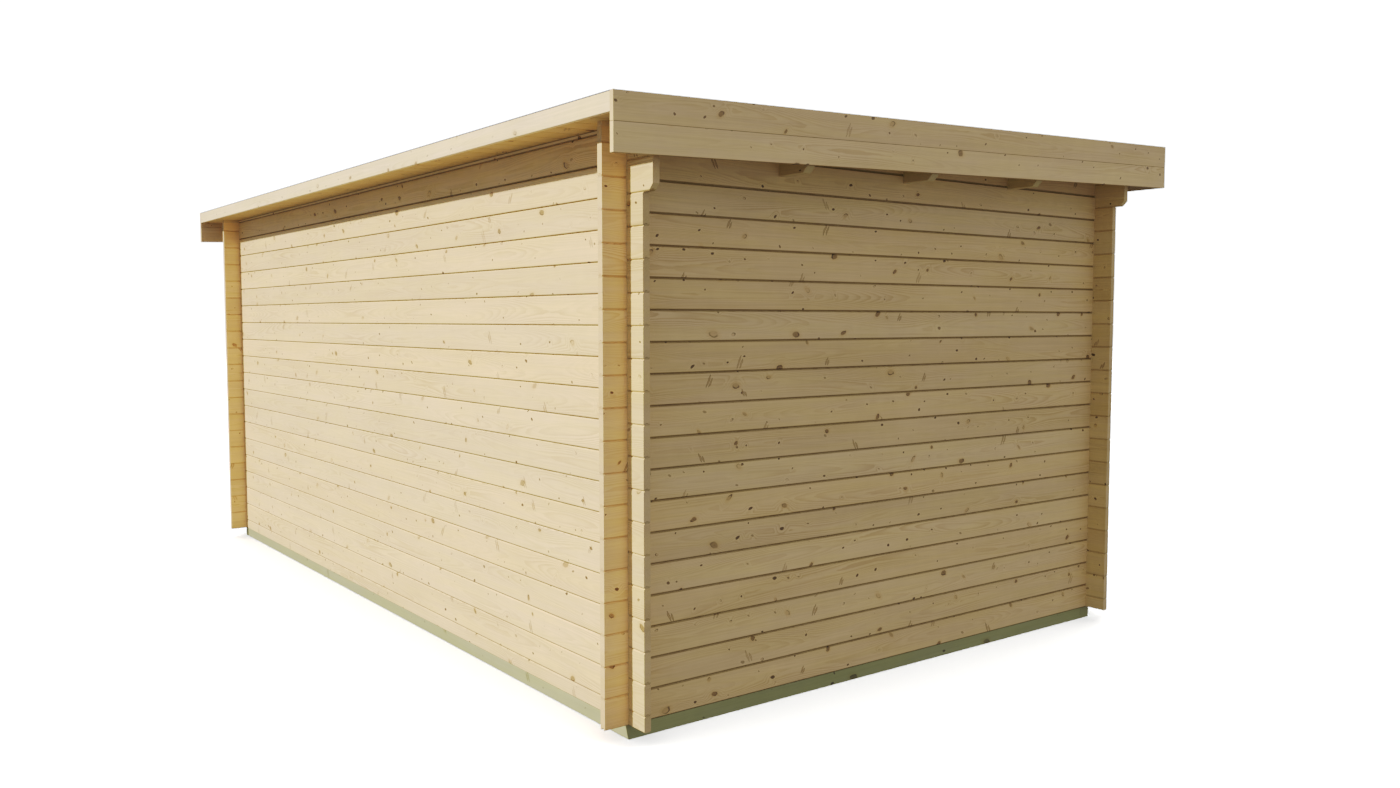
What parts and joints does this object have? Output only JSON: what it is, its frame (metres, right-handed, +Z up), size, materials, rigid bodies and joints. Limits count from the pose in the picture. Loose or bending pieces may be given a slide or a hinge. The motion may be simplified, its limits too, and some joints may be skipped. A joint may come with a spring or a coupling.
{
  "type": "summerhouse",
  "caption": "Log summerhouse with interlocking plank corners, deep fascias and a pent roof that slopes to the back, on bearer beams.",
  "frame": {"origin": "on the ground, under the middle of the roof outline", "axes": "+X from the low back wall to the high front wall, +Y along the house from the left end to the right end as seen from the front, +Z up"},
  "size_m": [3.214, 5.274, 2.3469],
  "materials": {
    "wall_wood": "planed",
    "fascia_wood": "planed",
    "roof_wood": "planed",
    "treated_wood": "rough",
    "roof_felt": "matte"
  },
  "bodies": {
    "root": {"back_bearer_beam": "treated_wood", "back_fascia": "fascia_wood", "back_wall_bracket_log": "wall_wood", "back_wall_half_log": "wall_wood", "back_wall_logs_1": "wall_wood", "back_wall_logs_2": "wall_wood", "back_wall_logs_3": "wall_wood", "back_wall_logs_4": "wall_wood", "back_wall_top_log": "wall_wood", "back_wall_top_strip": "wall_wood", "front_bearer_beam": "treated_wood", "front_fascia": "fascia_wood", "front_wall_bracket_log": "wall_wood", "front_wall_half_log": "wall_wood", "front_wall_logs_1": "wall_wood", "front_wall_logs_2": "wall_wood", "front_wall_logs_3": "wall_wood", "front_wall_logs_4": "wall_wood", "front_wall_top_log": "wall_wood", "front_wall_top_strip": "wall_wood", "left_bearer_beam": "treated_wood", "left_end_fascia": "fascia_wood", "left_end_wall_gable_logs": "wall_wood", "left_end_wall_logs_1": "wall_wood", "left_end_wall_logs_2": "wall_wood", "left_end_wall_logs_3": "wall_wood", "left_end_wall_logs_4": "wall_wood", "left_end_wall_top_strip": "wall_wood", "purlin_1": "roof_wood", "purlin_2": "roof_wood", "purlin_3": "roof_wood", "right_bearer_beam": "treated_wood", "right_end_fascia": "fascia_wood", "right_end_wall_gable_logs": "wall_wood", "right_end_wall_logs_1": "wall_wood", "right_end_wall_logs_2": "wall_wood", "right_end_wall_logs_3": "wall_wood", "right_end_wall_logs_4": "wall_wood", "right_end_wall_top_strip": "wall_wood", "roof_boards_1": "roof_wood", "roof_boards_2": "roof_wood", "roof_boards_3": "roof_wood", "roof_boards_4": "roof_wood", "roof_edge_battens": "roof_wood", "roof_felt": "roof_felt"}
  },
  "joints": []
}
